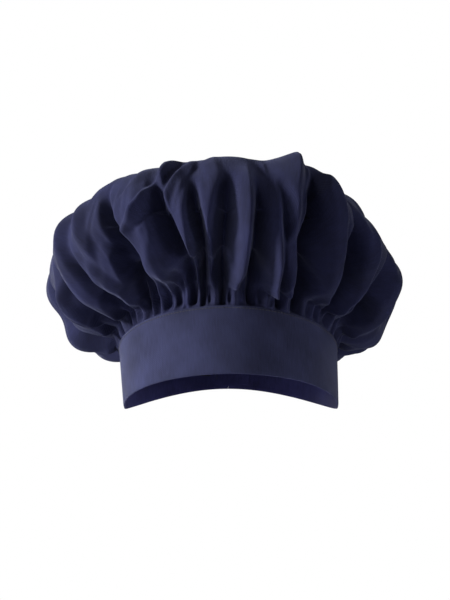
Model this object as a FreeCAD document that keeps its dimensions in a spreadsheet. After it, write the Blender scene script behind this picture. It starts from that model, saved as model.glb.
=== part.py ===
import FreeCAD, Part

import math
import os

import Sketcher
from FreeCAD import Placement, Rotation, Vector

# A soft mushroom-shaped chef toque: a gathered crown on a stiffened headband.
#
# The frame is in millimetres. +Z is up, the wearer looks along -Y, and the origin is the
# centre of the head opening in the plane of the rim. The headband is a slightly flared oval
# ring of two fabric plies with a stiffener between them. Its lower edge is level round the
# front and sweeps up to the nape, where the ring is open and a hook-and-loop tab closes it.
# The crown is one circle of cloth, gathered into the top of the band between its plies, with
# a short bound slit above the tab so that the ring can open.

doc = FreeCAD.newDocument("ChefToque")
sheet = doc.addObject("Spreadsheet::Sheet", "Sizes")
PARTS = []

# ---------------------------------------------------------------- driving dimensions

DIMENSIONS = [
    ("head_width", 170.0, "inside width of the band at the rim"),
    ("head_extra", 16.0, "how much longer than wide the head opening is"),
    ("flare", 0.06, "growth of the band's half width per unit of height"),
    ("cloth", 0.5, "thickness of one ply of the band"),
    ("stiffener", 0.6, "thickness of the band's stiffener"),
    ("ply_gap", 0.05, "clearance between things that are sewn together"),
    ("front_height", 52.0, "band height at the forehead"),
    ("side_height", 49.0, "band height at the temples"),
    ("nape_rise", 49.0, "height of the lower edge at the nape"),
    ("nape_height", 24.0, "band height at the nape"),
    ("sweep_start", 10.0, "how far in front of the centre the lower edge starts to rise"),
    ("sweep_bend", 70.0, "radius of the first bend of the lower edge"),
    ("sweep_angle", 18.0, "slope at the end of that bend, in degrees"),
    ("facing_inset", 0.4, "how far the facing's lower edge hides above the outer ply's"),
    ("back_gap", 1.0, "gap between the two ends of the band"),
    ("seam_allowance", 10.0, "depth of crown cloth sewn between the plies"),
    ("puff_width", 300.0, "width of the crown at its belly"),
    ("puff_length", 298.0, "length of the crown at its belly"),
    ("puff_top", 187.0, "height of the crown's top above the rim"),
    ("belly_height", 110.0, "height of the crown's widest level"),
    ("crown_cloth", 0.6, "thickness of the crown"),
    ("crown_lift", 1.2, "clearance between the crown's underside and the band's top edge"),
    ("slit_length", 19.0, "height of the crown's back slit above the band"),
    ("binding_width", 5.0, "width of the binding on each side of the slit"),
    ("binding_cloth", 0.6, "thickness of that binding"),
    ("tab_height", 14.0, "height of the closure tab"),
    ("tab_drop", 9.0, "how far the tab's upper edge lies below the band's, at the nape"),
    ("tab_cloth", 1.4, "thickness of the closure tab"),
    ("tab_start", 44.0, "distance from the back seam to the sewn end of the tab"),
    ("tab_fold", 18.0, "distance from the back seam to the line where the tab lifts"),
    ("tab_reach", 46.0, "distance from the back seam to the tab's free end"),
    ("fold_gap", 0.3, "clearance between the sewn and the free length of the tab"),
    ("loop_height", 12.0, "height of the loop tape"),
    ("hook_height", 9.0, "height of the hook tape"),
    ("tape_start", 5.0, "distance from the back seam to the near end of the loop tape"),
    ("loop_cloth", 0.9, "thickness of the loop tape"),
    ("hook_cloth", 0.8, "thickness of the hook tape"),
    ("hook_gap", 0.3, "clearance between hooks and loops"),
    ("thread", 0.4, "thread diameter"),
    ("stitch_pitch", 3.0, "length from one stitch to the next"),
    ("stitch_share", 0.7, "visible share of each stitch"),
    ("stitch_inset", 1.8, "distance of a row of stitches from the edge that it follows"),
    ("tape_inset", 1.0, "distance of a row of stitches from the edge of a tape"),
    ("label_width", 20.0, "width of the blank size label"),
    ("label_height", 8.5, "height of the size label"),
    ("label_rise", 4.6, "how far the label's middle lies above the tab's"),
    ("label_cloth", 0.3, "thickness of the size label"),
    ("label_place", 26.0, "distance of the label's middle from the back seam"),
    ("underlap_sewn", 12.0, "length of the underlap on the side where it is sewn"),
    ("underlap_free", 20.0, "length of the underlap past the gap"),
    ("underlap_inset", 2.5, "how far the underlap stops short of the band's edges"),
]

for row, (alias, value, note) in enumerate(DIMENSIONS, start=1):
    sheet.set(f"A{row}", alias)
    sheet.set(f"B{row}", str(value))
    sheet.set(f"C{row}", note)
    sheet.setAlias(f"B{row}", alias)
doc.recompute()


def size(alias):
    """One driving dimension, read back from the sheet."""
    return float(sheet.get(alias))


# Expressions that several sub-parts share. Offsets are counted outwards from the band's
# outer face, so everything inside it has a negative offset.
CORE = "max(Sizes.stiffener; Sizes.crown_cloth)"
BAND_WALL = f"(2 * Sizes.cloth + {CORE} + 2 * Sizes.ply_gap)"
HALF_WIDTH = f"(Sizes.head_width / 2 + {BAND_WALL})"
HALF_LENGTH = f"({HALF_WIDTH} + Sizes.head_extra / 2)"
NAPE_TOP = "(Sizes.nape_rise + Sizes.nape_height)"
BACK_LIMIT = f"({HALF_LENGTH} + Sizes.flare * {NAPE_TOP} + 2)"
FRONT_LIMIT = f"({HALF_LENGTH} + Sizes.flare * Sizes.front_height + 2)"
RING_FOOT = "-2"
RING_HEAD = f"({NAPE_TOP} + 10)"
BEHIND = "Sizes.puff_length"

# The same values for the shapes that are worked out in this script.
core = max(size("stiffener"), size("crown_cloth"))
half_width = size("head_width") / 2 + 2 * size("cloth") + core + 2 * size("ply_gap")
half_length = half_width + size("head_extra") / 2
nape_top = size("nape_rise") + size("nape_height")
back_limit = half_length + size("flare") * nape_top + 2
front_limit = half_length + size("flare") * size("front_height") + 2
half_gap = size("back_gap") / 2
WIDE = 2 * size("puff_width")


# ---------------------------------------------------------------- shared builders


def add_part(feature, label):
    """Marks a document object as one sub-part of the hat."""
    feature.Label = label
    PARTS.append(feature)
    return feature


def oval(name, offset, height):
    """An oval of the band's outer face, moved out by offset, at a height. Its length is along Y."""
    ring = doc.addObject("Part::Ellipse", name)
    ring.Placement = Placement(Vector(0, 0, 0), Rotation(Vector(0, 0, 1), 90))
    ring.setExpression("MinorRadius", f"{HALF_WIDTH} + ({offset}) + Sizes.flare * ({height})")
    ring.setExpression("MajorRadius", f"{HALF_LENGTH} + ({offset}) + Sizes.flare * ({height})")
    ring.setExpression("Placement.Base.z", height)
    return ring


def flared_plug(name, offset):
    """The solid inside the band's outer face, moved out by offset."""
    plug = doc.addObject("Part::Loft", name)
    plug.Sections = [
        oval(name + "_foot", offset, RING_FOOT),
        oval(name + "_head", offset, RING_HEAD),
    ]
    plug.Solid = True
    plug.Ruled = True
    return plug


def flared_ring(name, inner, outer):
    """A ring between two offsets from the band's outer face."""
    ring = doc.addObject("Part::Cut", name)
    ring.Base = flared_plug(name + "_out", outer)
    ring.Tool = flared_plug(name + "_in", inner)
    return ring


def box(name, x_low, x_high, y_low, y_high, z_low, z_high):
    """A box between expressions for its faces."""
    block = doc.addObject("Part::Box", name)
    for axis, side, low, high in (
        ("x", "Length", x_low, x_high),
        ("y", "Width", y_low, y_high),
        ("z", "Height", z_low, z_high),
    ):
        block.setExpression(f"Placement.Base.{axis}", low)
        block.setExpression(side, f"({high}) - ({low})")
    return block


def boolean(kind, name, base, tool):
    """A Part::Cut or Part::Common of two objects."""
    result = doc.addObject(f"Part::{kind}", name)
    result.Base = base
    result.Tool = tool
    return result


# ---------------------------------------------------------------- band


def upper_edge_radius():
    """Radius of the arc that the band's upper edge follows from temple to nape."""
    run = back_limit + size("sweep_start")
    rise = nape_top - size("side_height")
    return (run**2 + rise**2) / (2 * rise)


def side_profile(name, low, drop):
    """The band seen from the side, as a prism along X: what lies between its edges.

    low raises the lower edge and drop lowers the upper edge. The lower edge is level, bends
    up at the temple and sweeps to the nape in one long arc. The upper edge falls slightly
    from the forehead to the temple and then rises in an arc.
    """
    foot = -size("sweep_start")
    bend = size("sweep_bend")
    turn = math.radians(size("sweep_angle"))
    side_high = size("side_height")
    bend_end = Vector(foot + bend * math.sin(turn), bend * (1 - math.cos(turn)), 0)
    chord = Vector(back_limit, size("nape_rise"), 0) - bend_end
    sweep_turn = 2 * (math.atan2(chord.y, chord.x) - turn)
    sweep = chord.Length / (2 * math.sin(sweep_turn / 2))
    sweep_centre = bend_end + Vector(-sweep * math.sin(turn), sweep * math.cos(turn), 0)
    top_radius = upper_edge_radius()
    top_turn = math.asin((back_limit - foot) / top_radius)
    up = Vector(0, 0, 1)
    down = -math.pi / 2
    first_circle = Part.Circle(Vector(foot, bend, 0), up, bend)
    sweep_circle = Part.Circle(sweep_centre, up, sweep)
    top_circle = Part.Circle(Vector(foot, side_high + top_radius, 0), up, top_radius)
    front_foot = Vector(-front_limit, 0, 0)
    front_head = Vector(-front_limit, size("front_height"), 0)
    temple = Vector(foot, side_high, 0)
    nape_foot = Vector(back_limit, size("nape_rise"), 0)
    nape_head = Vector(back_limit, nape_top, 0)

    sketch = doc.addObject("Sketcher::SketchObject", name + "_sketch")
    sketch.Placement = Placement(Vector(0, 0, 0), Rotation(Vector(1, 1, 1), 120))
    level, first, sweep_arc, nape, top_arc, top_line, brow = sketch.addGeometry([
        Part.LineSegment(front_foot, Vector(foot, 0, 0)),
        Part.ArcOfCircle(first_circle, down, down + turn),
        Part.ArcOfCircle(sweep_circle, down + turn, down + turn + sweep_turn),
        Part.LineSegment(nape_foot, nape_head),
        Part.ArcOfCircle(top_circle, down, down + top_turn),
        Part.LineSegment(temple, front_head),
        Part.LineSegment(front_head, front_foot),
    ])

    def rule(*terms, expression=None):
        index = sketch.addConstraint(Sketcher.Constraint(*terms))
        if expression:
            sketch.setExpression(f"Constraints[{index}]", expression)

    start, end, centre, origin = 1, 2, 3, -1
    rule("Horizontal", level)
    rule("Vertical", nape)
    rule("Vertical", brow)
    rule("Tangent", level, end, first, start)
    rule("Tangent", first, end, sweep_arc, start)
    rule("Coincident", sweep_arc, end, nape, start)
    rule("Coincident", nape, end, top_arc, end)
    rule("Coincident", top_arc, start, top_line, start)
    rule("Coincident", top_line, end, brow, start)
    rule("Coincident", brow, end, level, start)
    rule("Vertical", top_arc, start, top_arc, centre)
    rule("Vertical", top_arc, start, first, centre)
    rule("Radius", first, bend, expression="Sizes.sweep_bend")
    for curve, spot, value, expression in (
        (level, start, -front_limit, f"-{FRONT_LIMIT}"),
        (level, end, foot, "-Sizes.sweep_start"),
        (first, end, bend_end.x,
         "-Sizes.sweep_start + Sizes.sweep_bend * sin(Sizes.sweep_angle * 1deg)"),
        (sweep_arc, end, back_limit, BACK_LIMIT),
    ):
        rule("DistanceX", origin, 1, curve, spot, value, expression=expression)
    for curve, spot, value, expression in (
        (first, centre, bend, f"Sizes.sweep_bend + {low}"),
        (sweep_arc, end, size("nape_rise"), f"Sizes.nape_rise + {low}"),
        (nape, end, nape_top, f"{NAPE_TOP} - {drop}"),
        (top_arc, start, side_high, f"Sizes.side_height - {drop}"),
        (top_line, end, size("front_height"), f"Sizes.front_height - {drop}"),
    ):
        rule("DistanceY", origin, 1, curve, spot, value, expression=expression)

    prism = doc.addObject("Part::Extrusion", name)
    prism.Base = sketch
    prism.DirMode = "Custom"
    prism.Dir = Vector(1, 0, 0)
    prism.setExpression("LengthFwd", "2 * Sizes.puff_width")
    prism.Symmetric = True
    prism.Solid = True
    return prism


def band_ply(name, inner, outer, profile):
    """One ply of the band: a flared ring, cut to the side profile and open at the back."""
    ring = flared_ring(name + "_ring", inner, outer)
    trimmed = boolean("Common", name + "_trimmed", ring, profile)
    gap = box(name + "_gap", "-Sizes.back_gap / 2", "Sizes.back_gap / 2",
              "0", BACK_LIMIT, RING_FOOT, RING_HEAD)
    return add_part(boolean("Cut", name, trimmed, gap), name)


CORE_OUT = "(-Sizes.cloth - Sizes.ply_gap)"
FACING_OUT = f"({CORE_OUT} - {CORE} - Sizes.ply_gap)"
FACING_IN = f"({FACING_OUT} - Sizes.cloth)"

band_ply("band_outer", "-Sizes.cloth", "0", side_profile("outer_profile", "0", "0"))
band_ply("band_facing", FACING_IN, FACING_OUT,
         side_profile("facing_profile", "Sizes.facing_inset", "0"))
band_ply("band_interfacing", f"{CORE_OUT} - Sizes.stiffener", CORE_OUT,
         side_profile("stiffener_profile", "2 * Sizes.facing_inset", "(Sizes.seam_allowance + 1)"))


# ---------------------------------------------------------------- crown

# The crown is lofted through closed curves, one for each level of its profile. Each curve
# follows the oval of the band at the seam and rounds out to the belly, and dips and rises
# with the band's upper edge. A share counts from the seam (0) to the belly (1).
RING_POINTS = 48
UNDERSIDE_SHARES = (0.0, 0.03, 0.1, 0.22, 0.4, 0.65, 1.0)
DOME_DEGREES = (16, 30, 43, 55, 66, 76, 84)
DOME_FULLNESS = 0.85
neck_foot = size("side_height") - size("seam_allowance") - 10
neck_offset = -size("cloth") - size("ply_gap")


def seam_height(y):
    """Height of the band's upper edge at a distance behind the centre."""
    foot = -size("sweep_start")
    side = size("side_height")
    if y <= foot:
        return side + (size("front_height") - side) * (foot - y) / (foot + front_limit)
    radius = upper_edge_radius()
    return side + radius - math.sqrt(radius**2 - (y - foot) ** 2)


def crown_profile(angle):
    """Half width, half length and height of each level of the crown, at an angle."""
    seam = seam_height((half_length + size("flare") * size("side_height")) * math.sin(angle))
    foot = half_width + neck_offset + size("flare") * neck_foot
    wide = half_width + neck_offset + size("flare") * seam
    long = wide + size("head_extra") / 2
    belly_wide = size("puff_width") / 2
    belly_long = size("puff_length") / 2
    low = seam + size("crown_lift")
    rise = size("belly_height") - low
    levels = [(foot, foot + size("head_extra") / 2, neck_foot)]
    for share in UNDERSIDE_SHARES:
        spread = math.sqrt(1 - (1 - share) ** 2)
        levels.append((
            wide + (belly_wide - wide) * spread,
            long + (belly_long - long) * spread,
            low + rise * share,
        ))
    for degrees in DOME_DEGREES:
        turn = math.radians(degrees)
        levels.append((
            belly_wide * math.cos(turn),
            belly_long * math.cos(turn),
            size("belly_height")
            + (size("puff_top") - size("belly_height")) * math.sin(turn) ** DOME_FULLNESS,
        ))
    return levels


def offset_profile(levels, distance):
    """The same levels moved out along the profile's normal, or in for a negative distance."""
    moved = []
    last = len(levels) - 1
    for i, (wide, long, high) in enumerate(levels):
        before = levels[max(i - 1, 0)]
        after = levels[min(i + 1, last)]
        behind = Vector(wide - before[0], high - before[2], 0)
        ahead = Vector(after[0] - wide, after[2] - high, 0)
        normals = []
        for run in (behind, ahead):
            if run.Length > 0:
                normals.append(Vector(run.y, -run.x, 0).normalize())
        middle = (normals[0] + normals[-1]).normalize()
        reach = distance / middle.dot(normals[0])
        out = middle.x * reach
        moved.append((wide + out, long + out, high + middle.y * reach))
    return moved


def crown_body(distance, foot_drop=0.0):
    """The closed solid inside the crown's outer face, moved out by a distance."""
    angles = [2 * math.pi * i / RING_POINTS for i in range(RING_POINTS)]
    profiles = [offset_profile(crown_profile(angle), distance) for angle in angles]
    wires = []
    for level in range(len(profiles[0])):
        points = []
        for angle, profile in zip(angles, profiles):
            wide, long, high = profile[level]
            if level == 0:
                high = neck_foot - foot_drop
            points.append(Vector(wide * math.cos(angle), long * math.sin(angle), high))
        curve = Part.BSplineCurve()
        curve.interpolate(points, PeriodicFlag=True)
        wires.append(Part.Wire(curve.toShape()))
    return Part.makeLoft(wires, True, True)


def below_seam(depth):
    """A prism that fills everything lower than a depth below the band's upper edge."""
    foot = -size("sweep_start")
    stops = [
        Vector(-WIDE / 2, y, seam_height(y) - depth)
        for y in (-front_limit, foot, (foot + back_limit) / 2, back_limit)
    ]
    floor = [Vector(-WIDE / 2, y, -WIDE) for y in (back_limit, -front_limit)]
    edges = [
        Part.LineSegment(stops[0], stops[1]).toShape(),
        Part.Arc(stops[1], stops[2], stops[3]).toShape(),
        Part.LineSegment(stops[3], floor[0]).toShape(),
        Part.LineSegment(floor[0], floor[1]).toShape(),
        Part.LineSegment(floor[1], stops[0]).toShape(),
    ]
    return Part.Face(Part.Wire(edges)).extrude(Vector(WIDE, 0, 0))


def slab(x_low, x_high, y_low, z_low, z_high):
    """A block behind a given y, for cuts at the nape."""
    return Part.makeBox(x_high - x_low, WIDE, z_high - z_low, Vector(x_low, y_low, z_low))


def shape_part(label, shape):
    """A sub-part whose shape is worked out in this script."""
    feature = doc.addObject("Part::Feature", label)
    feature.Shape = shape
    feature.Placement = Placement()
    return add_part(feature, label)


def largest(shape):
    """The largest solid in the result of a cut."""
    return max(shape.Solids, key=lambda solid: solid.Volume)


slit_top = nape_top + size("slit_length")
crown_shell = crown_body(0.0).cut(crown_body(-size("crown_cloth"), foot_drop=1.0))
crown_shell = crown_shell.cut(below_seam(size("seam_allowance")))
slit = slab(-half_gap, half_gap, 0, 0, slit_top)
shape_part("crown", largest(crown_shell.cut(slit)))

# A folded binding lies on the crown along each side of the slit.
binding_out = size("ply_gap") + size("binding_cloth")
binding_sheet = crown_body(binding_out).cut(crown_body(size("ply_gap")))
binding_start = half_length + size("flare") * nape_top + binding_out
for side, sign in (("left", -1), ("right", 1)):
    near, far = sorted((sign * half_gap, sign * (half_gap + size("binding_width"))))
    strip = slab(near, far, binding_start, size("nape_rise"), slit_top)
    shape_part(f"slit_binding_{side}", largest(binding_sheet.common(strip)))


# ---------------------------------------------------------------- closure at the nape

TAB_MIDDLE = f"({NAPE_TOP} - Sizes.tab_drop - Sizes.tab_height / 2)"
LOOP_OUT = "(Sizes.ply_gap + Sizes.loop_cloth)"
HOOK_IN = f"({LOOP_OUT} + Sizes.hook_gap)"
HOOK_OUT = f"({HOOK_IN} + Sizes.hook_cloth)"
TAB_IN = f"({HOOK_OUT} + Sizes.ply_gap)"


def nape_strip(name, inner, outer, x_low, x_high, height, middle=TAB_MIDDLE):
    """A strip that follows the back of the band between two offsets."""
    ring = flared_ring(name + "_ring", inner, outer)
    window = box(name + "_window", x_low, x_high, "0", BEHIND,
                 f"{middle} - {height} / 2", f"{middle} + {height} / 2")
    return add_part(boolean("Common", name, ring, window), name)


nape_strip("closure_tab_base", "Sizes.ply_gap", "Sizes.ply_gap + Sizes.tab_cloth",
           "-Sizes.tab_start", "-Sizes.tab_fold", "Sizes.tab_height")
nape_strip("closure_tab", TAB_IN, f"{TAB_IN} + Sizes.tab_cloth",
           "Sizes.fold_gap - Sizes.tab_fold", "Sizes.tab_reach", "Sizes.tab_height")
nape_strip("loop_tape", "Sizes.ply_gap", LOOP_OUT,
           "Sizes.tape_start", "Sizes.tab_reach + 3 * Sizes.tape_inset", "Sizes.loop_height")
nape_strip("hook_tape", HOOK_IN, HOOK_OUT,
           "Sizes.tape_start + 2 * Sizes.tape_inset", "Sizes.tab_reach - 2 * Sizes.tape_inset",
           "Sizes.hook_height")

# The underlap is a doubled strip inside the band that covers the gap between its ends.
LABEL_OUT = f"{FACING_IN} - Sizes.ply_gap"
underlap_ring = flared_ring("underlap_ring", f"{LABEL_OUT} - 2 * Sizes.cloth", LABEL_OUT)
underlap_band = boolean("Common", "underlap_band", underlap_ring,
                        side_profile("underlap_profile", "Sizes.underlap_inset",
                                     "(Sizes.underlap_inset + Sizes.stitch_inset)"))
underlap_window = box("underlap_window", "-Sizes.underlap_sewn", "Sizes.underlap_free",
                      "0", BEHIND, RING_FOOT, RING_HEAD)
add_part(boolean("Common", "underlap", underlap_band, underlap_window), "underlap")

# A blank label is sewn to the inside of the band beside the underlap.
nape_strip("size_label", f"{LABEL_OUT} - Sizes.label_cloth", LABEL_OUT,
           "-Sizes.label_place - Sizes.label_width / 2",
           "-Sizes.label_place + Sizes.label_width / 2", "Sizes.label_height",
           f"({TAB_MIDDLE} + Sizes.label_rise)")


# ---------------------------------------------------------------- stitches

# Each row of stitches is one sub-part that holds its stitches as separate rods of thread,
# which lie on the cloth with the sewn clearance under them.
on_cloth = size("thread") / 2 + size("ply_gap")
inside_face = -(half_width - size("head_width") / 2)
loop_out = size("ply_gap") + size("loop_cloth")
base_out = size("ply_gap") + size("tab_cloth")
tab_out = loop_out + size("hook_gap") + size("hook_cloth") + base_out
tab_middle = nape_top - size("tab_drop") - size("tab_height") / 2


def wall_point(angle, offset, height):
    """A point at an offset from the band's outer face."""
    wide = half_width + offset + size("flare") * height
    return Vector(wide * math.cos(angle), (wide + size("head_extra") / 2) * math.sin(angle), height)


def nape_point(x, offset, height):
    """The point of the band's back that has this x, at an offset from its outer face."""
    wide = half_width + offset + size("flare") * height
    return wall_point(math.acos(x / wide), offset, height)


def stitch(start, finish):
    """One straight stitch: a short rod of thread in the middle of its pitch."""
    run = (finish - start) * size("stitch_share")
    first = (start + finish - run) * 0.5
    return Part.makeCylinder(size("thread") / 2, run.Length, first, run)


def stitch_part(label, route):
    """One sub-part with a stitch from each point of a route to the next."""
    rods = [stitch(start, finish) for start, finish in zip(route, route[1:])]
    return shape_part(label, Part.makeCompound(rods))


def edge_row(offset):
    """Points just under the band's upper edge, from one side of the back gap to the other."""
    middle_wide = half_width + size("flare") * size("side_height")
    round_trip = 2 * math.pi * (middle_wide + size("head_extra") / 4)
    clear = (half_gap + size("stitch_inset")) / half_length
    count = round(round_trip / size("stitch_pitch"))
    route = []
    for i in range(count + 1):
        angle = math.pi / 2 + clear + (2 * math.pi - 2 * clear) * i / count
        long = middle_wide + size("head_extra") / 2
        high = seam_height(long * math.sin(angle)) - size("stitch_inset")
        route.append(wall_point(angle, offset, high))
    return route


def path_row(corners, offset):
    """Points one pitch apart along straight runs between corners (x, z) on the band's back."""
    route = []
    for (x, z), (next_x, next_z) in zip(corners, corners[1:]):
        steps = max(1, round(math.hypot(next_x - x, next_z - z) / size("stitch_pitch")))
        for i in range(steps):
            part_way = i / steps
            route.append((x + (next_x - x) * part_way, z + (next_z - z) * part_way))
    route.append(corners[-1])
    return [nape_point(x, offset, z) for x, z in route]


def box_row(x_low, x_high, height, inset, offset):
    """A rectangle of stitches, an inset inside a strip that is centred on the tab."""
    left, right = x_low + inset, x_high - inset
    low, high = tab_middle - height / 2 + inset, tab_middle + height / 2 - inset
    corners = [(left, low), (right, low), (right, high), (left, high), (left, low)]
    return path_row(corners, offset)


def tab_edge_row():
    """Stitches along the three free edges of the tab, clear of its fold."""
    inset = size("stitch_inset")
    near = -size("tab_fold") + 3 * inset
    far = size("tab_reach") - inset
    low = tab_middle - size("tab_height") / 2 + inset
    high = tab_middle + size("tab_height") / 2 - inset
    return path_row([(near, low), (far, low), (far, high), (near, high)], tab_out + on_cloth)


def label_row():
    """A straight row along the upper edge of the label."""
    left = -size("label_place") - size("label_width") / 2 + size("tape_inset")
    right = -size("label_place") + size("label_width") / 2 - size("tape_inset")
    high = tab_middle + size("label_rise") + size("label_height") / 2 - size("tape_inset")
    offset = inside_face - size("ply_gap") - size("label_cloth") - on_cloth
    return path_row([(left, high), (right, high)], offset)


def underlap_row():
    """An upright row that holds the underlap to one end of the band."""
    x = -size("underlap_sewn") + size("stitch_inset")
    low = size("nape_rise") + size("underlap_inset") + size("stitch_inset")
    high = nape_top - size("underlap_inset") - 2 * size("stitch_inset")
    offset = inside_face - size("ply_gap") - 2 * size("cloth") - on_cloth
    return path_row([(x, low), (x, high)], offset)


def binding_row(sign):
    """A row along the middle of one slit binding, from the band to the top of the slit."""
    x = sign * (half_gap + size("binding_width") / 2)
    profile = offset_profile(crown_profile(math.pi / 2), binding_out + 2 * on_cloth)
    line = [
        Vector(x, long * math.sqrt(1 - (x / wide) ** 2), high)
        for wide, long, high in profile
        if long > binding_start and high < size("belly_height")
    ]
    route = []
    for start, finish in zip(line, line[1:]):
        steps = max(1, round((finish - start).Length / size("stitch_pitch")))
        route += [start + (finish - start) * (i / steps) for i in range(steps)]
    return [point for point in route if point.z < slit_top - size("stitch_inset")]


stitch_part("band_topstitch", edge_row(on_cloth))
stitch_part("band_bobbin_stitch", edge_row(inside_face - on_cloth))
stitch_part("tab_base_stitches", box_row(
    -size("tab_start"), -size("tab_fold"), size("tab_height"), size("stitch_inset"),
    base_out + on_cloth))
stitch_part("tab_edge_stitches", tab_edge_row())
stitch_part("hook_tape_stitches", box_row(
    size("tape_start") + 2 * size("tape_inset"), size("tab_reach") - 2 * size("tape_inset"),
    size("hook_height"), size("tape_inset"), tab_out + on_cloth))
stitch_part("loop_tape_stitches", box_row(
    size("tape_start"), size("tab_reach") + 3 * size("tape_inset"),
    size("loop_height"), size("thread"), loop_out + on_cloth))
stitch_part("label_stitches", label_row())
stitch_part("underlap_stitches", underlap_row())
stitch_part("slit_stitches_left", binding_row(-1))
stitch_part("slit_stitches_right", binding_row(1))


# ---------------------------------------------------------------- check and export

doc.recompute()
for item in doc.Objects:
    if "Invalid" in item.State or "Error" in item.State:
        raise RuntimeError(f"{item.Name} failed: {item.State}")
for part in PARTS:
    if part.Shape.isNull() or not part.Shape.isValid() or not part.Shape.Solids:
        raise RuntimeError(f"{part.Label} has no valid solid")

os.makedirs("parts", exist_ok=True)
for part in PARTS:
    part.Shape.exportStep(f"parts/{part.Label}.step")
    print(f"{part.Label}: {len(part.Shape.Solids)} solids, {part.Shape.Volume:.0f} mm3")
fold = nape_point(-size("tab_fold") + size("fold_gap") / 2, tab_out, tab_middle)
print(f"tab fold axis at x {fold.x:.2f}, y {fold.y:.2f}, z {fold.z:.2f}")
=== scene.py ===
import math
import random

import bpy
import numpy as np
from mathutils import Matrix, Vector


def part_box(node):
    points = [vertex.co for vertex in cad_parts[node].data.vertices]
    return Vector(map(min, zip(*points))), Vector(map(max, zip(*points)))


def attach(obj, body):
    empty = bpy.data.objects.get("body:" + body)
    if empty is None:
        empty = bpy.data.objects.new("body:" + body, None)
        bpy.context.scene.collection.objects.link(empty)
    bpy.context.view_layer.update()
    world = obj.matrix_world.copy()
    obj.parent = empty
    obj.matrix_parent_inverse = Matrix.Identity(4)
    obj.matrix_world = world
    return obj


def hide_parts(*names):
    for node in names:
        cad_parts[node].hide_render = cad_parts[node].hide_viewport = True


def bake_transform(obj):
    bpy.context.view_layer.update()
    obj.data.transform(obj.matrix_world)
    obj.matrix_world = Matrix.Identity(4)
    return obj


# The looks of a soft chef toque: a gathered crown on a stiffened headband, in metres.
# Angles round the hat are in degrees from the forehead (-Y), positive towards +X.

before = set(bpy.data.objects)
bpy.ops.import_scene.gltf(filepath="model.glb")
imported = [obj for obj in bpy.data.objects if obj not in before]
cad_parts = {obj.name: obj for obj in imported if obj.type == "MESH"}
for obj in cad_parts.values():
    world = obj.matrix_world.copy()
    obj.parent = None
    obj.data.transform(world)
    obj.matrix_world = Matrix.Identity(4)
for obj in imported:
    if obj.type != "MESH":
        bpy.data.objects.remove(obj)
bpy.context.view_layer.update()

MM = 0.001

# ---------------------------------------------------------------- sizes read from the frame

puff_low, puff_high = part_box("crown")
PUFF_WIDE = (puff_high.x - puff_low.x) / 2
PUFF_LONG = (puff_high.y - puff_low.y) / 2
PUFF_TOP = puff_high.z
BELLY_HEIGHT = 110 * MM

# The band, as the CAD model has it: an oval that flares upwards, with edges that follow the head.
HEAD_EXTRA = 8 * MM
FLARE = 0.06
FRONT_HEIGHT = 52 * MM
SIDE_HEIGHT = 49 * MM
NAPE_RISE = 49 * MM
NAPE_TOP = 73 * MM
SWEEP_START = 10 * MM
SWEEP_BEND = 70 * MM
SWEEP_ANGLE = math.radians(18)
RIM_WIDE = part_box("band_outer")[1].x - FLARE * SIDE_HEIGHT
RIM_LONG = RIM_WIDE + HEAD_EXTRA
BACK_LIMIT = RIM_LONG + FLARE * NAPE_TOP + 2 * MM
FRONT_LIMIT = RIM_LONG + FLARE * FRONT_HEIGHT + 2 * MM


def lower_edge(y):
    """Height of the band's lower edge: level, then a short bend, then a long sweep to the nape."""
    bend_end = SWEEP_BEND * math.sin(SWEEP_ANGLE) - SWEEP_START
    bend_rise = SWEEP_BEND * (1 - math.cos(SWEEP_ANGLE))
    run, rise = BACK_LIMIT - bend_end, NAPE_RISE - bend_rise
    sweep = math.hypot(run, rise) / (2 * math.sin(math.atan2(rise, run) - SWEEP_ANGLE))
    middle_y = bend_end - sweep * math.sin(SWEEP_ANGLE)
    middle_z = bend_rise + sweep * math.cos(SWEEP_ANGLE)
    bend = SWEEP_BEND - np.sqrt(np.maximum(SWEEP_BEND**2 - (y + SWEEP_START) ** 2, 0))
    long_sweep = middle_z - np.sqrt(np.maximum(sweep**2 - (y - middle_y) ** 2, 0))
    return np.where(y < -SWEEP_START, 0, np.where(y < bend_end, bend, long_sweep))


def upper_edge(y):
    """Height of the band's upper edge: a slight fall from forehead to temple, then an arc."""
    run, rise = BACK_LIMIT + SWEEP_START, NAPE_TOP - SIDE_HEIGHT
    radius = (run**2 + rise**2) / (2 * rise)
    brow = (FRONT_HEIGHT - SIDE_HEIGHT) * (-SWEEP_START - y) / (FRONT_LIMIT - SWEEP_START)
    arc = radius - np.sqrt(np.maximum(radius**2 - (y + SWEEP_START) ** 2, 0))
    return SIDE_HEIGHT + np.where(y < -SWEEP_START, brow, arc)


def edge_height(edge, degrees):
    """Height of an edge of the band at angles round it."""
    height = SIDE_HEIGHT + 0 * np.asarray(degrees, float)
    for _ in range(4):
        height = edge(oval(degrees, height)[..., 1])
    return height


def oval(degrees, height, offset=0.0):
    """Points of the band's outer face at angles and heights, moved out by an offset."""
    turn = np.radians(degrees)
    wide = RIM_WIDE + FLARE * height + offset
    return np.stack([wide * np.sin(turn), -(wide + HEAD_EXTRA) * np.cos(turn), height + 0 * turn], -1)


# ---------------------------------------------------------------- crown: shape

CROWN_LENGTH = 0.275

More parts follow.
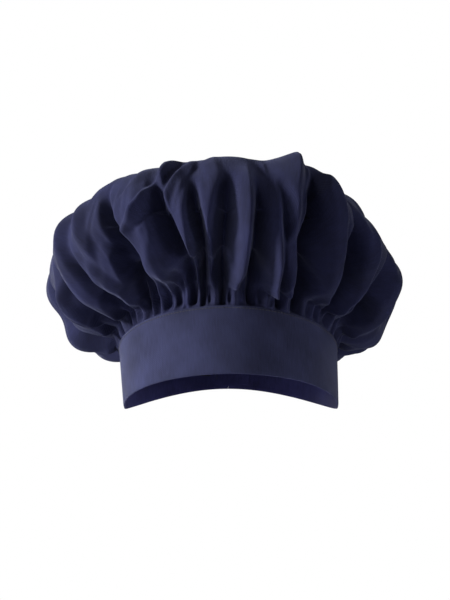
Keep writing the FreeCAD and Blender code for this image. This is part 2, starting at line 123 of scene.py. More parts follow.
# Each fold runs from the seam up: height (ridges stand out, valleys fall in), the widths of its
# two flanks, and its course as (angle, share of the way from the seam to the crown's top).
# Heights and flanks were set one by one. Most courses are measured fold lines that a scratch
# program turned into angles and shares, then smoothed by hand: report.md says which.
FOLDS = [
    (-19, 8, 3.5, [(-36, 0.0), (-33, 0.12), (-32, 0.22), (-35, 0.31), (-42, 0.47)]),
    (4, 14, 10, [(-27, 0.05), (-25, 0.18), (-26, 0.32), (-29, 0.46)]),
    (8, 10, 2.6, [(-47, 0.0), (-44, 0.13), (-49, 0.22), (-54, 0.29)]),
    (-14, 7, 3.5, [(-53, 0.0), (-50, 0.1), (-54, 0.2), (-58, 0.32)]),
    (9, 10, 3, [(-60, 0.0), (-56, 0.14), (-58, 0.24), (-60, 0.34), (-64, 0.5)]),
    (-14, 7, 3.5, [(-67, 0.0), (-65, 0.1), (-65, 0.2), (-68, 0.34)]),
    (8, 8, 3, [(-80, 0.0), (-72, 0.1), (-72, 0.2), (-66, 0.31)]),
    (-16, 4, 8, [(-43, 0.0), (-38, 0.12), (-38, 0.25), (-41, 0.3)]),
    (7, 6, 3.5, [(-45, 0.24), (-50, 0.36), (-55, 0.5)]),
    (8, 2.6, 9, [(-33, 0.30), (-25, 0.37), (-21, 0.45), (-19, 0.58)]),
    (-5, 6, 3, [(-28, 0.30), (-21, 0.37), (-17, 0.46), (-15, 0.56)]),
    (-17, 10, 3, [(-15, 0.0), (-14, 0.16), (-17, 0.27), (-22, 0.46)]),
    (-12, 3, 3, [(-21, 0.0), (-21, 0.06), (-22, 0.13)]),
    (5, 3.5, 3, [(-14, 0.0), (-12.5, 0.1), (-12.5, 0.25), (-14, 0.44)]),
    (-26, 4, 4.5, [(-12, 0.0), (-10, 0.1), (-9, 0.22), (-10, 0.41)]),
    (5, 6, 5, [(-7, 0.0), (-6, 0.15), (-5, 0.3), (-5, 0.44)]),
    (-25, 7, 8, [(-3, 0.0), (-2.5, 0.12), (-1.5, 0.26), (0, 0.42)]),
    (9, 6, 2.4, [(3, 0.0), (5.5, 0.14), (6, 0.29), (6, 0.48)]),
    (-25, 3.5, 9, [(10, 0.0), (10, 0.1), (9.5, 0.22), (8.5, 0.4)]),
    (9, 9, 3, [(22, 0.0), (18, 0.13), (13.5, 0.25), (9, 0.38)]),
    (-14, 3, 4, [(24, 0.0), (21, 0.12), (18, 0.25), (15, 0.4)]),
    (13, 13, 2.6, [(26, 0.0), (22, 0.12), (18.5, 0.24), (19, 0.38), (23, 0.52), (27, 0.6)]),
    (-27, 4.5, 12, [(34, 0.0), (30, 0.12), (25, 0.26), (25.5, 0.42), (29, 0.5)]),
    (12, 2.5, 3, [(29, 0.0), (26, 0.08), (24, 0.17)]),
    (10, 16, 3, [(53, 0.0), (41, 0.15), (37, 0.24), (34.5, 0.32), (33.5, 0.45), (33, 0.58)]),
    (-22, 3, 9, [(53, 0.0), (46, 0.12), (41, 0.23), (43, 0.4)]),
    (11, 11, 3, [(61, 0.0), (53, 0.12), (51, 0.22), (50, 0.36)]),
    (-19, 3, 9, [(73, 0.0), (65, 0.1), (59, 0.18), (62, 0.33)]),
    (10, 9, 3, [(84, 0.0), (75, 0.11), (69, 0.2), (71, 0.36)]),
    (-15, 3, 8, [(88, 0.0), (82, 0.12), (80, 0.22), (81, 0.36)]),
]

# Broad swellings of the puff: height, angle, share, and half sizes in degrees and share. Their
# places were found with the same program, and their heights and sizes set by hand.
SWELLINGS = [
    (5, -38, 0.54, 14, 0.08),
    (6, 0, 0.56, 16, 0.08),
    (6, 27, 0.58, 9, 0.07),
    (-9, 42, 0.53, 8, 0.06),
    (-18, 65, 0.45, 15, 0.08),
    (-10, 83, 0.36, 16, 0.09),
    (-13, 97, 0.24, 18, 0.11),
    (-12, -90, 0.25, 14, 0.07),
    (4, -88, 0.33, 12, 0.06),
]

BACK_FOLDS = 13

# Pleats at the seam, short and long: how many, reach as a share, depth and width in mm.
GATHERS = ((76, 0.04, 3.2, 1.5), (44, 0.13, 5.5, 2.2))

RING_POINTS = 640

# Rings get half the points at each of these shares, and lie further apart.
THINNED_FROM = (0.5, 0.74, 0.9)
RING_SPREAD = (1, 1.6, 2.2, 2.2)
LAST_RING = 0.985

# Above the seam the gathered cloth first stands up, before it turns outwards.
SEAM_RISE = 9 * MM


def fade(x, low, high):
    """0 below low, 1 above high, smooth between."""
    t = np.clip((x - low) / (high - low), 0, 1)
    return t * t * (3 - 2 * t)


def share_to_level():
    """Table from the share of the way up the crown to the level of its profile (0 to 2)."""
    levels = np.linspace(0, 2, 401)
    wide, high = profile(RIM_WIDE, PUFF_WIDE, 49 * MM, levels)
    run = np.concatenate([[0], np.cumsum(np.hypot(np.diff(wide), np.diff(high)))])
    return run / run[-1], levels


def profile(neck, belly, seam, level, straight=0.0):
    """Radius and height at a level: 0 is the seam, 1 the belly and 2 the top. straight is how
    far the underside is pulled straight, instead of hanging round."""
    turn = np.clip(level, 0, 1) * np.pi / 2
    rise = np.clip(level - 1, 0, 1) * np.pi / 2
    out = (1 - straight) * np.sin(turn) + straight * level
    up = (1 - straight) * (1 - np.cos(turn)) + straight * level
    radius = np.where(level < 1, neck + (belly - neck) * out, belly * np.cos(rise))
    height = np.where(
        level < 1,
        seam + (BELLY_HEIGHT - seam) * up,
        BELLY_HEIGHT + (PUFF_TOP - BELLY_HEIGHT) * np.sin(rise) ** 0.85,
    )
    return radius, height


SHARES, LEVELS = share_to_level()


def smooth_puff(degrees, share):
    """The crown with no folds: points at angles and shares of the way up."""
    level = np.interp(share, SHARES, LEVELS)
    seam = edge_height(upper_edge, degrees) + 1.0 * MM
    neck = RIM_WIDE + FLARE * seam - 0.8 * MM
    straight = 0.6 * (1 - fade(np.abs(degrees), 35, 80))
    wide, high = profile(neck, PUFF_WIDE - 2 * MM, seam, level, straight)
    long, _ = profile(neck + HEAD_EXTRA, PUFF_LONG - 2 * MM, seam, level, straight)
    turn = np.radians(degrees)
    high = high + SEAM_RISE * fade(share, 0, 0.022) * (1 - fade(share, 0.04, 0.2))
    return np.stack([wide * np.sin(turn), -long * np.cos(turn), high], -1)


SLIT_TOP = NAPE_TOP + 19 * MM
SLIT_HALF_GAP = 0.5 * MM
BACK_HEIGHTS = smooth_puff(np.full(401, 180.0), np.linspace(0, 1, 401))[:, 2]
SLIT_SHARE = float(np.interp(SLIT_TOP, BACK_HEIGHTS[:200], np.linspace(0, 1, 401)[:200]))


def slit_calm(degrees, share, girth):
    """Near the bound slit at the back the cloth is pressed flat: 0 there, 1 elsewhere."""
    away = np.abs(np.radians(angle_gap(degrees, 180))) * girth
    beside = fade(away, 7 * MM, 20 * MM)
    above = fade(share, SLIT_SHARE, SLIT_SHARE + 0.1)
    return np.maximum(beside, above)


def outward(degrees, share):
    """Unit normals of the smooth puff."""
    step_round = smooth_puff(degrees + 0.5, share) - smooth_puff(degrees - 0.5, share)
    step_up = smooth_puff(degrees, np.clip(share + 0.004, 0, 1)) - smooth_puff(
        degrees, np.clip(share - 0.004, 0, 1))
    normal = np.cross(step_round, step_up)
    return normal / np.maximum(np.linalg.norm(normal, axis=-1, keepdims=True), 1e-12)


def angle_gap(a, b):
    """Signed difference of two angles in degrees."""
    return (a - b + 180) % 360 - 180


def tent(across, flank):
    """A straight-sided bump 1 high with a slightly rounded crest and foot."""
    crest = 1.1 * MM
    rise = 1 - (np.hypot(across, crest) - crest) / flank
    return 0.5 * (rise + np.sqrt(rise * rise + 0.004))


def minor_creases():
    """Fine creases all over the puff, mostly running up and down it."""
    rng = random.Random(23)
    creases = []
    for _ in range(110):
        angle = rng.uniform(-180, 180)
        low = rng.uniform(0.03, 0.5)
        top = low + rng.uniform(0.12, 0.3)
        drift = rng.uniform(-9, 9)
        flanks = [rng.uniform(1.5, 3), rng.uniform(4, 9)]
        rng.shuffle(flanks)
        creases.append((rng.choice((-1, 1)) * rng.uniform(0.8, 2.0), *flanks,
                        [(angle, low), (angle + 0.6 * drift, (low + top) / 2), (angle + drift, top)]))
    return creases


def fold_height(fold, degrees, share, girth):
    """Height of one fold over the puff. girth is the radius that turns an angle into a length."""
    height, left, right, course = fold
    angles, shares = zip(*course)
    line = np.interp(share, shares, angles)
    across = np.radians(angle_gap(degrees, line)) * girth
    flank = np.where(across < 0, left, right) * MM
    if height > 0:
        flank = flank * (0.5 + 0.5 * fade(share, 0.0, 0.2))
    else:
        flank = flank * (0.35 + 0.65 * fade(share, 0.0, 0.13)) * (1 - 0.45 * fade(share, 0.22, 0.45))
    bump = tent(across, flank * (2.1 if height > 0 else 1.6))
    start = 1.0 if shares[0] < 0.02 else fade(share, shares[0] - 0.06, shares[0] + 0.06)
    end = 1 - fade(share, shares[-1] - 0.12, shares[-1] + 0.05)
    near_seam = 0.2 + 0.8 * fade(share, 0.0, 0.05 if height > 0 else 0.075)
    return height * MM * bump * start * end * near_seam


def back_folds():
    """Folds for the half that faces backwards, spread and varied by a fixed seed."""
    rng = random.Random(7)
    folds = []
    for i in range(BACK_FOLDS):
        angle = 97 + (166 / BACK_FOLDS) * (i + 0.5 + rng.uniform(-0.25, 0.25))
        drift = rng.uniform(-7, 7)
        top = rng.uniform(0.34, 0.56)
        steep = rng.choice((0, 1))
        ridge = (rng.uniform(8, 12), rng.uniform(2.8, 3.6))
        folds.append((rng.uniform(7, 11), *(ridge[::-1] if steep else ridge),
                      [(angle, 0.0), (angle + drift * 0.5, 0.16), (angle + drift, top)]))
        valley = angle + 83 / BACK_FOLDS
        folds.append((-rng.uniform(12, 18), rng.uniform(4, 8), rng.uniform(4, 8),
                      [(valley, 0.0), (valley + drift * 0.4, 0.16), (valley + drift, top - 0.05)]))
    return folds


def gather_height(degrees, share, girth):
    """Small pleats where the cloth is gathered into the band, which run out upwards."""
    rng = random.Random(11)
    total = np.zeros_like(share)
    for count, reach, depth, width in GATHERS:
        for i in range(count):
            angle = 360 / count * (i + rng.uniform(-0.38, 0.38)) - 180
            lean = rng.uniform(-3, 3)
            top = reach * rng.uniform(0.35, 1.8)
            deep = depth * rng.uniform(0.3, 1.35) * MM
            flank = width * rng.uniform(0.6, 1.9) * MM
            line = angle + lean * share / reach
            across = np.radians(angle_gap(degrees, line)) * girth
            run_out = (1 - fade(share, 0.15 * top, top)) * fade(share, -0.004, 0.012)
            total -= deep * tent(across, flank * (1 + 1.5 * np.clip(share / top, 0, 1))) * run_out
    return total


def crown_points(degrees, share):
    """Points of the folded crown."""
    base = smooth_puff(degrees, share)
    girth = np.hypot(base[..., 0], base[..., 1])
    height = gather_height(degrees, share, girth)
    for fold in FOLDS + back_folds() + minor_creases():
        height = height + fold_height(fold, degrees, share, girth)
    for tall, angle, at, wide, long in SWELLINGS:
        height = height + tall * MM * np.exp(
            -((angle_gap(degrees, angle) / wide) ** 2) - ((share - at) / long) ** 2)
    height = height * slit_calm(degrees, share, girth)
    return base + outward(degrees, share) * height[..., None]


def crown_rings():
    """(share, number of points) for each ring from the seam to the top."""
    rings = []
    share = 0.0
    while share < LAST_RING:
        thinned = sum(share >= limit for limit in THINNED_FROM)
        rings.append((share, RING_POINTS // 2**thinned))
        pace = 0.003 if share < 0.03 else 0.007 if share < 0.2 else 0.009
        share += pace * RING_SPREAD[thinned]
    return rings


def ring_degrees(count, is_open):
    """Angles of one ring's points. An open ring has a point on each side of the slit."""
    degrees = np.arange(count + is_open) * 360 / count - 180.0
    if is_open:
        edge = math.degrees(SLIT_HALF_GAP / RIM_LONG)
        degrees[0] += edge
        degrees[-1] -= edge
    return degrees


def crown_mesh():
    """The crown as one sheet: a short neck inside the band, then rings up to the top."""
    points = []
    flat = []
    faces = []
    rings = []
    levels = [(-drop, RING_POINTS) for drop in (6 * MM, 3 * MM, 0.8 * MM)] + crown_rings()
    for level, (share, count) in enumerate(levels):
        is_open = share < SLIT_SHARE
        degrees = ring_degrees(count, is_open)
        rings.append((len(points), count, is_open))
        if level < 3:
            points.extend(oval(degrees, edge_height(upper_edge, degrees) + share, -0.8 * MM))
            reach = CROWN_LENGTH - share
        else:
            points.extend(crown_points(degrees, np.full(len(degrees), share)))
            reach = CROWN_LENGTH * (1 - share)
        flat.extend(zip(reach * np.sin(np.radians(degrees)), -reach * np.cos(np.radians(degrees))))

    def at(ring, i):
        start, count, is_open = ring
        return start + (i if is_open else i % count)

    for low, high in zip(rings, rings[1:]):
        step = low[1] // high[1]
        for i in range(high[1]):
            if step == 1:
                faces.append((at(low, i), at(low, i + 1), at(high, i + 1), at(high, i)))
            else:
                faces.append((at(low, 2 * i), at(low, 2 * i + 1), at(high, i)))
                faces.append((at(low, 2 * i + 1), at(high, i + 1), at(high, i)))
                faces.append((at(low, 2 * i + 1), at(low, 2 * i + 2), at(high, i + 1)))
    points.append(crown_points(np.zeros(1), np.ones(1))[0])
    flat.append((0.0, 0.0))
    for i in range(rings[-1][1]):
        faces.append((at(rings[-1], i), at(rings[-1], i + 1), len(points) - 1))
    return mesh_object("crown_puff", points, faces, flat)


# ---------------------------------------------------------------- mesh helpers


def mesh_object(name, points, faces, flat=None):
    """A smooth-shaded mesh. flat gives each point its place in the cut cloth, in metres."""
    mesh = bpy.data.meshes.new(name)
    mesh.from_pydata([tuple(map(float, p)) for p in points], [], faces)
    if flat is not None:
        layer = mesh.uv_layers.new(name="cloth")
        for loop in mesh.loops:
            layer.data[loop.index].uv = flat[loop.vertex_index]
    mesh.polygons.foreach_set("use_smooth", [True] * len(mesh.polygons))
    mesh.update()
    piece = bpy.data.objects.new(name, mesh)
    bpy.context.scene.collection.objects.link(piece)
    return piece


def subdivide(piece):
    modifier = piece.modifiers.new("subdivision", "SUBSURF")
    modifier.levels = 1
    modifier.render_levels = 1
    modifier.boundary_smooth = "PRESERVE_CORNERS"


def thicken(piece, thickness):
    modifier = piece.modifiers.new("thickness", "SOLIDIFY")
    modifier.thickness = thickness
    modifier.offset = 0


def unit(vectors):
    return vectors / np.maximum(np.linalg.norm(vectors, axis=-1, keepdims=True), 1e-12)


def ribbon(name, centers, normals, half_widths, half_thick, seams=(), around=28):
    """A flat cloth strip with soft edges along a path. seams are distances in from its edges
    where stitches pull it thinner."""
    centers = np.asarray(centers, float)
    along = unit(np.gradient(centers, axis=0))
    normals = unit(np.asarray(normals, float) - along * np.sum(normals * along, -1, keepdims=True))
    across = np.cross(normals, along)
    turn = np.arange(around) * 2 * math.pi / around
    side = np.sign(np.cos(turn)) * np.abs(np.cos(turn)) ** 0.55
    face = np.sign(np.sin(turn)) * np.abs(np.sin(turn)) ** 0.45
    points = []
    flat = []
    run = 0.0
    for i, center in enumerate(centers):
        if i:
            run += float(np.linalg.norm(center - centers[i - 1]))
        thick = np.full(around, half_thick)
        for seam in seams:
            inward = half_widths[i] * (1 - np.abs(side))
            thick = thick * (1 - 0.35 * np.exp(-((inward - seam) / (0.7 * MM)) ** 2))
        points.extend(center + across[i] * (half_widths[i] * side)[:, None]
                      + normals[i] * (thick * face)[:, None])
        flat.extend((run, half_widths[i] * v) for v in side)
    faces = []
    for i in range(len(centers) - 1):
        for j in range(around):
            k = (j + 1) % around
            a, b = i * around, (i + 1) * around
            faces.append((a + j, a + k, b + k, b + j))
    last = (len(centers) - 1) * around
    for j in range(around // 2):
        k, m = around - 1 - j, (around - j) % around
        if j == 0:
            m = 0
        a, b, c, d = j, (j + 1) % around, k, m
        if len({a, b, c, d}) >= 3:
            ring = list(dict.fromkeys((a, b, c, d)))
            faces.append(tuple(ring[::-1]))
            faces.append(tuple(last + v for v in ring))
    return mesh_object(name, points, faces, flat)


def stitch_row(name, route, normals, radius, share=0.72, dip=0.9):
    """A row of stitches: short rounded lengths of thread whose ends sink into the cloth."""
    points = []
    faces = []
    sides = 6
    for start, finish, up in zip(route, route[1:], normals):
        run = finish - start
        ahead = unit(run)
        up = unit(up - ahead * np.dot(up, ahead))
        beside = np.cross(ahead, up)
        first = len(points)
        for t in (-0.5, -0.42, -0.2, 0.2, 0.42, 0.5):
            center = (start + finish) / 2 + run * share * t - up * radius * dip * (2 * t) ** 4
            size = radius * (0.55 if abs(t) > 0.45 else 1.0)
            for j in range(sides):
                turn = 2 * math.pi * j / sides
                points.append(center + size * (math.cos(turn) * up + math.sin(turn) * beside))
        for ring in range(5):
            for j in range(sides):
                k = (j + 1) % sides
                a, b = first + ring * sides, first + (ring + 1) * sides
                faces.append((a + j, b + j, b + k, a + k))
        faces.append(tuple(first + j for j in range(sides)))
        faces.append(tuple(first + 5 * sides + j for j in reversed(range(sides))))
    piece = mesh_object(name, points, faces)
    paint(piece, thread)
    return piece


# ---------------------------------------------------------------- materials


def cloth_material(name, color, sheen=0.07, weave=0.9, rough=0.85):
    """Dyed twill: diagonal ribs in the cloth's own directions, uneven yarn and a soft sheen."""
    material = bpy.data.materials.new(name)
    material.use_nodes = True
    nodes = material.node_tree.nodes
    links = material.node_tree.links
    shader = nodes["Principled BSDF"]
    shader.inputs["Roughness"].default_value = rough
    shader.inputs["Specular IOR Level"].default_value = 0.08
    shader.inputs["Sheen Weight"].default_value = sheen
    shader.inputs["Sheen Roughness"].default_value = 0.45
    shader.inputs["Sheen Tint"].default_value = (0.55, 0.6, 1.0, 1)

    place = nodes.new("ShaderNodeUVMap")
    place.uv_map = "cloth"
    ribs = nodes.new("ShaderNodeTexWave")
    ribs.bands_direction = "DIAGONAL"
    ribs.inputs["Scale"].default_value = 420
    ribs.inputs["Distortion"].default_value = 0.6
    ribs.inputs["Detail"].default_value = 1.0
    links.new(place.outputs["UV"], ribs.inputs["Vector"])

    yarn = nodes.new("ShaderNodeTexNoise")
    yarn.inputs["Scale"].default_value = 900
    yarn.inputs["Detail"].default_value = 2
    stretch = nodes.new("ShaderNodeMapping")
    stretch.inputs["Scale"].default_value = (1.0, 0.12, 1.0)
    links.new(place.outputs["UV"], stretch.inputs["Vector"])
    links.new(stretch.outputs["Vector"], yarn.inputs["Vector"])

    cloud = nodes.new("ShaderNodeTexNoise")
    cloud.inputs["Scale"].default_value = 28
    cloud.inputs["Detail"].default_value = 3
    links.new(place.outputs["UV"], cloud.inputs["Vector"])

    tone = nodes.new("ShaderNodeMath")
    tone.operation = "MULTIPLY_ADD"
    tone.inputs[1].default_value = 0.5
    links.new(yarn.outputs["Fac"], tone.inputs[0])
    links.new(cloud.outputs["Fac"], tone.inputs[2])
    ramp = nodes.new("ShaderNodeValToRGB")
    ramp.color_ramp.elements[0].position = 0.45
    ramp.color_ramp.elements[1].position = 1.05
    ramp.color_ramp.elements[0].color = (*[c * 0.6 for c in color], 1)
    ramp.color_ramp.elements[1].color = (*[c * 1.5 for c in color], 1)
    links.new(tone.outputs["Value"], ramp.inputs["Fac"])
    links.new(ramp.outputs["Color"], shader.inputs["Base Color"])

    relief = nodes.new("ShaderNodeMath")
    relief.operation = "MULTIPLY_ADD"
    relief.inputs[1].default_value = 0.6
    links.new(ribs.outputs["Fac"], relief.inputs[0])
    links.new(yarn.outputs["Fac"], relief.inputs[2])
    bump = nodes.new("ShaderNodeBump")
    bump.inputs["Strength"].default_value = weave
    bump.inputs["Distance"].default_value = 0.0002
    links.new(relief.outputs["Value"], bump.inputs["Height"])
    links.new(bump.outputs["Normal"], shader.inputs["Normal"])
    return material


def plain_material(name, color, rough=0.6, sheen=0.2):
    material = bpy.data.materials.new(name)
    material.use_nodes = True
    shader = material.node_tree.nodes["Principled BSDF"]
    shader.inputs["Base Color"].default_value = (*color, 1)
    shader.inputs["Roughness"].default_value = rough
    shader.inputs["Sheen Weight"].default_value = sheen
    return material


def pile_material(name, color, scale, rough):
    """The fuzzy or prickly face of a fastening tape."""
    material = plain_material(name, color, rough, 0.08)
    nodes = material.node_tree.nodes
    links = material.node_tree.links
    place = nodes.new("ShaderNodeUVMap")
    place.uv_map = "cloth"
    cells = nodes.new("ShaderNodeTexVoronoi")
    cells.inputs["Scale"].default_value = scale
    links.new(place.outputs["UV"], cells.inputs["Vector"])
    bump = nodes.new("ShaderNodeBump")
    bump.inputs["Strength"].default_value = 0.8
    bump.inputs["Distance"].default_value = 0.0003
    links.new(cells.outputs["Distance"], bump.inputs["Height"])
    links.new(bump.outputs["Normal"], nodes["Principled BSDF"].inputs["Normal"])
    return material


def paint(piece, material):
    piece.data.materials.clear()
    piece.data.materials.append(material)


# The crown is the same twill as the band, but its navy is made about half as bright and a little bluer:
# painted shade standing in for the shade that falls in the crown's folds.
CROWN_NAVY_PAINTED_SHADE = (0.0062, 0.0070, 0.0232)
NAVY = (0.0122, 0.0137, 0.0345)
DEEP_NAVY = (0.0125, 0.0125, 0.05)
crown_cloth = cloth_material("crown_twill_painted_shade", CROWN_NAVY_PAINTED_SHADE)
band_cloth = cloth_material("band_twill", NAVY)
lining_cloth = cloth_material("lining_twill", DEEP_NAVY, sheen=0.05, weave=0.5)
thread = plain_material("thread", (0.004, 0.004, 0.012), 0.9, 0.05)
felt = plain_material("felt", (0.7, 0.7, 0.68), 0.9)
tape_cloth = cloth_material("tape_twill", NAVY, weave=0.6)
label_cloth = cloth_material("label_satin", (0.012, 0.012, 0.026), sheen=0.05, weave=0.3, rough=0.5)
loop_pile = pile_material("loop_pile", (0.014, 0.015, 0.034), 1500, 0.9)
hook_pile = pile_material("hook_pile", (0.011, 0.012, 0.028), 700, 0.6)


# ---------------------------------------------------------------- band

RING_STEPS = 288

# The band's layers, as offsets of their middles from its outer face.
PLY = 0.5 * MM
OUTER_MIDDLE = -0.25 * MM
BAND_MIDDLE = -0.85 * MM
FACING_MIDDLE = -1.45 * MM


def lean(points):
    """The band's lower edge sits a little towards +X under its upper edge."""
    moved = np.array(points)
    moved[..., 0] += 2.4 * MM * np.clip(1 - moved[..., 2] / (49 * MM), 0, 1)
    return moved


def ripple(degrees, height):
    """Slight unevenness of the pressed band, which dies out where it is sewn."""
    turn = np.radians(degrees)
    wave = 0.5 * np.sin(3 * turn + 0.4) + 0.35 * np.sin(7 * turn + 1.9) + 0.25 * np.sin(13 * turn)
    slow = np.sin(height / (14 * MM) + 2 * turn)
    calm = fade(upper_edge_gap(degrees, height), 0, 18 * MM)
    calm = calm * fade(np.abs(angle_gap(degrees, 180)), 32, 50)
    return MM * 0.45 * wave * (0.6 + 0.4 * slow) * calm


def upper_edge_gap(degrees, height):
    """How far a height on the band lies below the band's upper edge."""
    return edge_height(upper_edge, degrees) - height


def band_wall(name, offset, drop_low, drop_high, short=0.05 * MM, pinch=0.6):
    """One ply of the band as a sheet with an end on each side of the back gap. Its foot is
    pinched towards the middle of the wall, as the plies meet in a pressed edge."""
    gap = math.degrees(short / RIM_LONG)
    degrees = np.linspace(-180 + gap, 180 - gap, RING_STEPS + 1)
    low = edge_height(lower_edge, degrees) + drop_low
    high = edge_height(upper_edge, degrees) - drop_high
    points = []
    flat = []
    faces = []
    shares = [0, 0.006, 0.018, 0.036] + [row / 14 for row in range(1, 15)]
    rows = len(shares) - 1
    for share in shares:
        height = low + (high - low) * share
        wave = ripple(degrees, height)
        inward = pinch * (1 - float(fade(share, 0, 0.036))) * (BAND_MIDDLE - offset)
        points.extend(lean(oval(degrees, height, offset + inward)) + radial(degrees) * wave[:, None])
        flat.extend(zip(np.radians(degrees) * RIM_LONG, height))
    columns = RING_STEPS + 1
    for row in range(rows):
        for i in range(RING_STEPS):
            a = row * columns + i
            faces.append((a, a + 1, a + columns + 1, a + columns))
    return mesh_object(name, points, faces, flat)


def radial(degrees):
    """Unit directions away from the middle, level with the rim."""
    turn = np.radians(degrees)
    return np.stack([np.sin(turn), -np.cos(turn), 0 * turn], -1)


def make_band():
    outer = band_wall("band_outer_ply", OUTER_MIDDLE, 0, 0)
    subdivide(outer)
    thicken(outer, PLY)
    paint(outer, band_cloth)
    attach(outer, "hat")
    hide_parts("band_outer")

    stiffener = band_wall("band_stiffener", BAND_MIDDLE, 2.2 * MM, 11 * MM, short=6 * MM)
    thicken(stiffener, PLY)
    paint(stiffener, felt)
    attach(stiffener, "hat")
    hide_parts("band_interfacing")

    facing = band_wall("band_facing_ply", FACING_MIDDLE, 0, 0.2 * MM)
    subdivide(facing)
    thicken(facing, PLY)
    paint(facing, lining_cloth)
    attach(facing, "hat")
    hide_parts("band_facing")


# ---------------------------------------------------------------- crown: piece


def make_crown():
    crown = crown_mesh()
    subdivide(crown)
    paint(crown, crown_cloth)
    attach(crown, "hat")
    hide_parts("crown")


# ---------------------------------------------------------------- closure at the nape

BAND_WALL = 1.7 * MM
THREAD = 0.2 * MM
SEAM_THREAD = 0.3 * MM
TAB_MIDDLE = 57 * MM
TAB_HEIGHT = 14 * MM
TAB_FOLD = -18 * MM
BASE_OFFSET = 0.75 * MM
FREE_OFFSET = 2.8 * MM
STRAP = (-44 * MM, 46 * MM)
LOOPS = (5 * MM, 49 * MM)
HOOKS = (7 * MM, 44 * MM)
LOOP_HEIGHT = 12 * MM
HOOK_HEIGHT = 9 * MM


def nape_point(x, height, offset):
    """The point of the band's back that has this x, at an offset from its outer face."""
    wide = RIM_WIDE + FLARE * height + offset
    turn = np.arcsin(x / wide)
    return np.stack([x + 0 * turn, (wide + HEAD_EXTRA) * np.cos(turn), height + 0 * turn], -1)


def nape_normal(x, height):
    return unit(nape_point(x, height, 5 * MM) - nape_point(x, height, 0) + np.stack(
        [0.004 * x / RIM_WIDE, 0 * x, 0 * x], -1))


def nape_ribbon(name, low, high, middle, height, thickness, offset, round_end=0.0, seams=()):
    """A strip along the back of the band. offset is a number or a function of x."""
    steps = max(12, round((high - low) / (1.5 * MM)))
    x = np.linspace(low, high, steps + 1)
    if round_end:
        x = np.sort(np.append(x, high - round_end * (1 - np.array([0.5, 0.75, 0.93]))))
    out = offset(x) if callable(offset) else np.full(len(x), float(offset))
    half = np.full(len(x), height / 2)
    into = np.clip((x - (high - round_end)) / round_end, 0, 1) if round_end else 0 * x
    half = half - round_end * (1 - np.sqrt(1 - into**2 * 0.98))
    centers = nape_point(x, np.full(len(x), middle), out)
    normals = nape_normal(x, np.full(len(x), middle))
    return ribbon(name, centers, normals, half, thickness / 2, seams)


def strap_offset(x):
    """The strap lies on the band where it is sewn, and beyond its fold on the tapes."""
    return BASE_OFFSET + (FREE_OFFSET - BASE_OFFSET) * fade(x, TAB_FOLD - 5 * MM, TAB_FOLD + 5 * MM)


def nape_path(corners, offset, pitch=2.7 * MM):
    """Points a pitch apart between corners (x, height), and the way out of the cloth at each."""
    x, z = [], []
    for (x0, z0), (x1, z1) in zip(corners, corners[1:]):
        steps = max(1, round(math.hypot(x1 - x0, z1 - z0) / pitch))
        for i in range(steps):
            x.append(x0 + (x1 - x0) * i / steps)
            z.append(z0 + (z1 - z0) * i / steps)
    x.append(corners[-1][0])
    z.append(corners[-1][1])
    x, z = np.array(x), np.array(z)
    out = offset(x) if callable(offset) else np.full(len(x), float(offset))
    side = -1 if np.all(out < 0) else 1
    return nape_point(x, z, out), side * nape_normal(x, z)


def box_corners(low, high, middle, height, inset):
    left, right = low + inset, high - inset
    foot, head = middle - height / 2 + inset, middle + height / 2 - inset
    return [(left, foot), (right, foot), (right, head), (left, head), (left, foot)]


def nape_stitches(name, corners, offset, body, node):
    route, normal = nape_path(corners, offset)
    piece = stitch_row(name, route, normal, THREAD)
    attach(piece, body)
    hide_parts(node)


def make_closure():
    strap = nape_ribbon("closure_strap", *STRAP, TAB_MIDDLE, TAB_HEIGHT, 1.4 * MM,
                        strap_offset, round_end=2.5 * MM, seams=(1.8 * MM,))
    subdivide(strap)
    paint(strap, band_cloth)
    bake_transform(strap)
    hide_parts("closure_tab_base", "closure_tab")

    loops = nape_ribbon("loop_tape_pile", *LOOPS, TAB_MIDDLE, LOOP_HEIGHT, 0.9 * MM, 0.5 * MM)
    paint(loops, loop_pile)
    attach(loops, "hat")
    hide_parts("loop_tape")

    hooks = nape_ribbon("hook_tape_pile", *HOOKS, TAB_MIDDLE, HOOK_HEIGHT, 0.8 * MM, 1.65 * MM)
    paint(hooks, hook_pile)
    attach(hooks, "tab")
    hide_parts("hook_tape")

    def on_strap(x):
        return strap_offset(x) + 0.72 * MM

    nape_stitches("base_stitching", box_corners(-44 * MM, -22 * MM, TAB_MIDDLE, TAB_HEIGHT, 1.8 * MM),
                  on_strap, "hat", "tab_base_stitches")
    foot, head = TAB_MIDDLE - 5.2 * MM, TAB_MIDDLE + 5.2 * MM
    nape_stitches("edge_stitching", [(-12 * MM, foot), (44 * MM, foot), (44 * MM, head), (-12 * MM, head)],
                  on_strap, "tab", "tab_edge_stitches")
    nape_stitches("hook_stitching", box_corners(*HOOKS, TAB_MIDDLE, HOOK_HEIGHT, 1 * MM),
                  on_strap, "tab", "hook_tape_stitches")
    nape_stitches("loop_stitching", box_corners(*LOOPS, TAB_MIDDLE, LOOP_HEIGHT, 0.7 * MM),
                  0.95 * MM, "hat", "loop_tape_stitches")


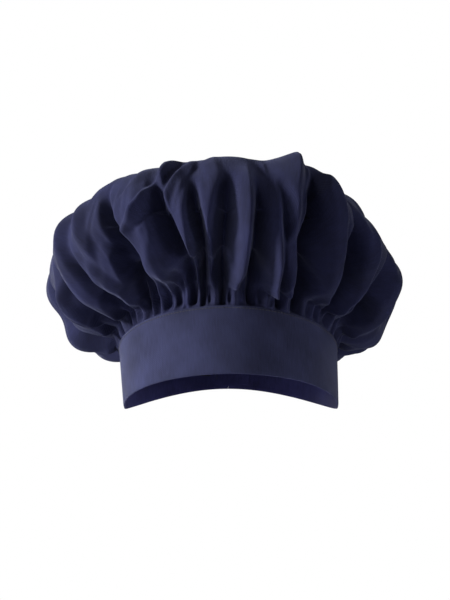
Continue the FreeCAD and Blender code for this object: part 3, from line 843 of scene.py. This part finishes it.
def make_inside():
    inner = -BAND_WALL - 0.05 * MM
    low, high = 49.3 * MM, 68.5 * MM
    underlap = nape_ribbon("underlap_flap", -12 * MM, 20 * MM, (low + high) / 2, high - low, 0.9 * MM,
                           inner - 0.5 * MM, seams=(2.2 * MM,))
    subdivide(underlap)
    paint(underlap, lining_cloth)
    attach(underlap, "hat")
    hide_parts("underlap")
    nape_stitches("underlap_stitching", [(-10.2 * MM, 54 * MM), (-10.2 * MM, 66.5 * MM)],
                  inner - 1.0 * MM, "hat", "underlap_stitches")

    label = nape_ribbon("size_label_cloth", -36 * MM, -16 * MM, TAB_MIDDLE + 4.6 * MM, 8.5 * MM,
                        0.28 * MM, inner - 0.15 * MM)
    paint(label, label_cloth)
    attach(label, "hat")
    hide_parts("size_label")
    top = TAB_MIDDLE + 4.6 * MM + 3.25 * MM
    nape_stitches("label_stitching", [(-35 * MM, top), (-17 * MM, top)], inner - 0.32 * MM,
                  "hat", "label_stitches")


def make_seam_stitches():
    """The row just under the band's upper edge, and its bobbin side within."""
    gap = math.degrees(2.5 * MM / RIM_LONG)
    count = 222
    degrees = np.linspace(-180 + gap, 180 - gap, count + 1)
    height = edge_height(upper_edge, degrees) - 1.8 * MM
    for name, offset, side, node in (("band_stitching", 0.12 * MM, 1, "band_topstitch"),
                                     ("bobbin_stitching", -BAND_WALL - 0.12 * MM, -1,
                                      "band_bobbin_stitch")):
        wave = ripple(degrees, height)
        route = lean(oval(degrees, height, offset)) + radial(degrees) * wave[:, None]
        piece = stitch_row(name, route, side * radial(degrees), SEAM_THREAD)
        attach(piece, "hat")
        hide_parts(node)


def make_bindings():
    """A folded binding on the crown along each side of the slit."""
    shares = np.linspace(0.012, SLIT_SHARE - 0.004, 20)
    for name, sign in (("left", -1), ("right", 1)):
        center = 180 - sign * math.degrees(3.1 * MM / RIM_LONG)
        surface = smooth_puff(np.full(len(shares), center), shares)
        normals = outward(np.full(len(shares), center), shares)
        piece = ribbon(f"slit_binding_{name}_cloth", surface + normals * 0.4 * MM, normals,
                       np.full(len(shares), 2.6 * MM), 0.55 * MM, seams=(2.4 * MM,))
        subdivide(piece)
        paint(piece, tape_cloth)
        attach(piece, "hat")
        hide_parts(f"slit_binding_{name}")
        route = surface[1:-1] + normals[1:-1] * 0.92 * MM
        row = stitch_row(f"slit_stitching_{name}", route[::2], normals[1:-1:2], THREAD)
        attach(row, "hat")
        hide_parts(f"slit_stitches_{name}")


# ---------------------------------------------------------------- stage, lights and camera


def area_light(name, place, aim, size, power):
    lamp = bpy.data.lights.new(name, "AREA")
    lamp.shape = "DISK"
    lamp.size = size
    lamp.energy = power
    holder = bpy.data.objects.new(name, lamp)
    holder.location = place
    holder.rotation_euler = (Vector(aim) - Vector(place)).to_track_quat("-Z", "Y").to_euler()
    bpy.context.scene.collection.objects.link(holder)


STUDIO_GLOW = 0.07


def make_stage():
    mesh = bpy.data.meshes.new("floor")
    half = 4.0
    depth = -0.5
    mesh.from_pydata([(-half, -half, depth), (half, -half, depth), (half, half, depth),
                      (-half, half, depth)], [], [(0, 1, 2, 3)])
    floor = bpy.data.objects.new("floor", mesh)
    bpy.context.scene.collection.objects.link(floor)
    floor.data.materials.append(plain_material("pale_floor", (0.8, 0.8, 0.8), 0.9, 0))
    world = bpy.data.worlds.new("studio")
    bpy.context.scene.world = world
    world.use_nodes = True
    backdrop = world.node_tree.nodes["Background"]
    backdrop.inputs["Color"].default_value = (1, 1, 1, 1)
    rays = world.node_tree.nodes.new("ShaderNodeLightPath")
    strength = world.node_tree.nodes.new("ShaderNodeMapRange")
    strength.inputs["To Min"].default_value = STUDIO_GLOW
    strength.inputs["To Max"].default_value = 1.0
    world.node_tree.links.new(rays.outputs["Is Camera Ray"], strength.inputs["Value"])
    world.node_tree.links.new(strength.outputs["Result"], backdrop.inputs["Strength"])
    bpy.context.scene.view_settings.view_transform = "Standard"
    area_light("key", (-1.7, -0.55, 0.3), (0, 0, 0.09), 0.5, 92)
    area_light("top", (-0.6, -0.7, 1.4), (0, 0, 0.12), 0.5, 9)
    area_light("back_left", (-1.2, 1.5, 0.5), (0, 0, 0.1), 0.8, 13)
    area_light("back_right", (1.3, 1.3, 0.9), (0, 0, 0.1), 0.8, 7)
    area_light("fill", (1.4, -0.75, -0.3), (0, 0, 0.07), 0.4, 14)


def make_camera():
    data = bpy.data.cameras.new("camera")
    data.lens = 65.19
    data.sensor_width = 36
    camera = bpy.data.objects.new("camera", data)
    camera.location = (0, -0.850, -0.241)
    aim = Vector((-0.0025, 0, 0.0948))
    camera.rotation_euler = (aim - camera.location).to_track_quat("-Z", "Y").to_euler()
    bpy.context.scene.collection.objects.link(camera)
    bpy.context.scene.camera = camera


make_camera()
make_stage()
make_band()
make_crown()
make_seam_stitches()
make_bindings()
make_closure()
make_inside()
